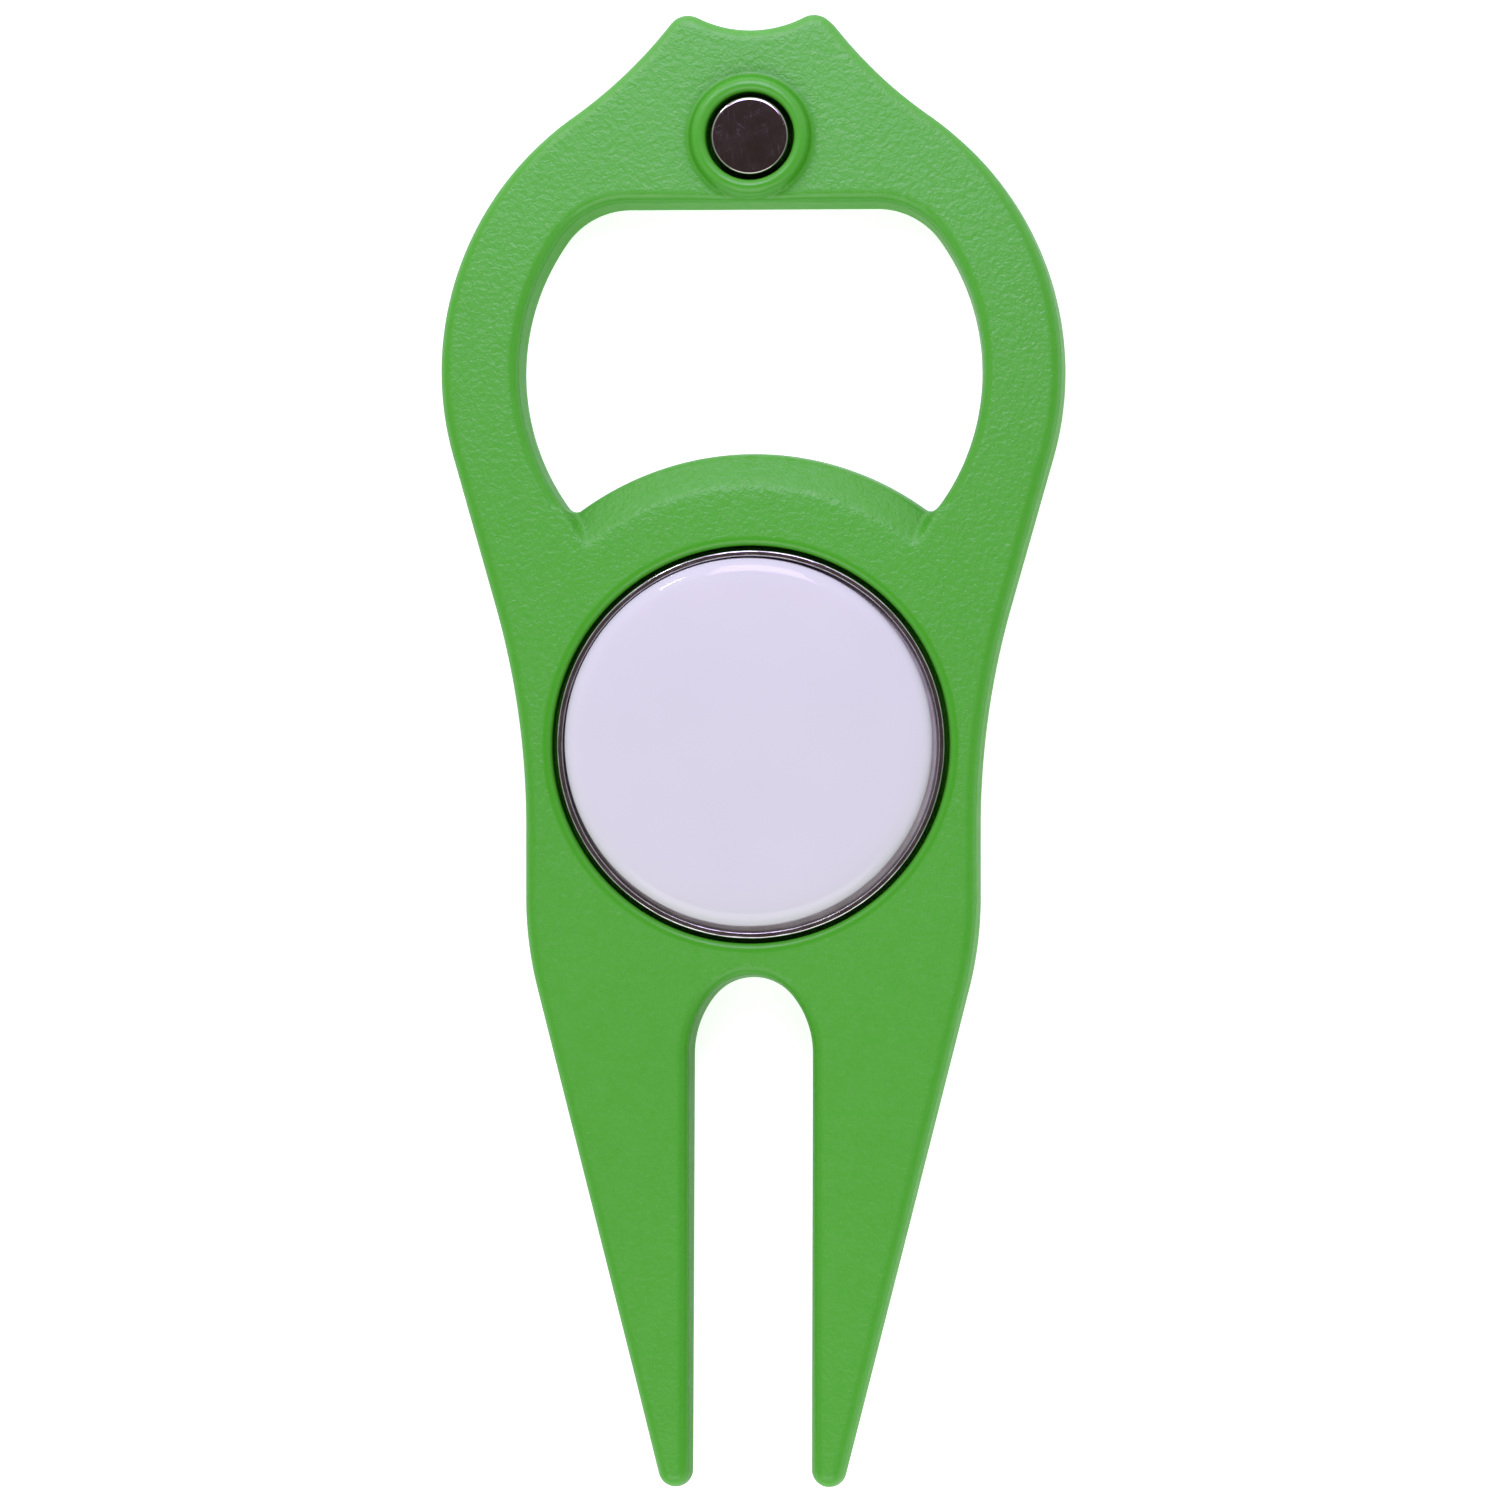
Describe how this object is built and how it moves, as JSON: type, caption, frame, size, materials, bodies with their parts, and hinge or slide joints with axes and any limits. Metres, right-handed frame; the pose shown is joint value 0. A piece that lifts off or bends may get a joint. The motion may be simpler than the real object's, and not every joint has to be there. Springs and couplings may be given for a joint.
{
  "type": "divot repair tool",
  "caption": "Forked golf green repair tool with a bottle-opener ring, a club-rest crown, a cap magnet and a magnetic domed ball marker that lifts out.",
  "frame": {"origin": "middle of the tool's length and width, on its flat back face, so the tool lies on its back on z = 0", "axes": "+Z out of the front face, the way the marker lifts off; +Y along the tool towards the crown; +X to the right when looking at the front with the crown up"},
  "size_m": [0.0404, 0.095, 0.0055],
  "materials": {
    "body": "fine leathery moulded grain, satin",
    "magnet": "bright nickel plate",
    "glue": "cured epoxy",
    "coin": "polished nickel-plated steel",
    "adhesive": "double-sided film",
    "label": "plain white printed film",
    "dome": "clear poured resin, high gloss"
  },
  "bodies": {
    "tool": {"tool_body": "body", "cap_magnet": "magnet", "cap_magnet_glue": "glue", "marker_magnet": "magnet", "marker_magnet_glue": "glue"},
    "marker": {"marker_coin": "coin", "marker_adhesive": "adhesive", "marker_label": "label", "marker_dome": "dome"}
  },
  "joints": [
    {"name": "marker_lift", "type": "slide", "parent": "tool", "child": "marker", "axis": [0, 0, 1], "range_m": [0, 0.012]}
  ]
}
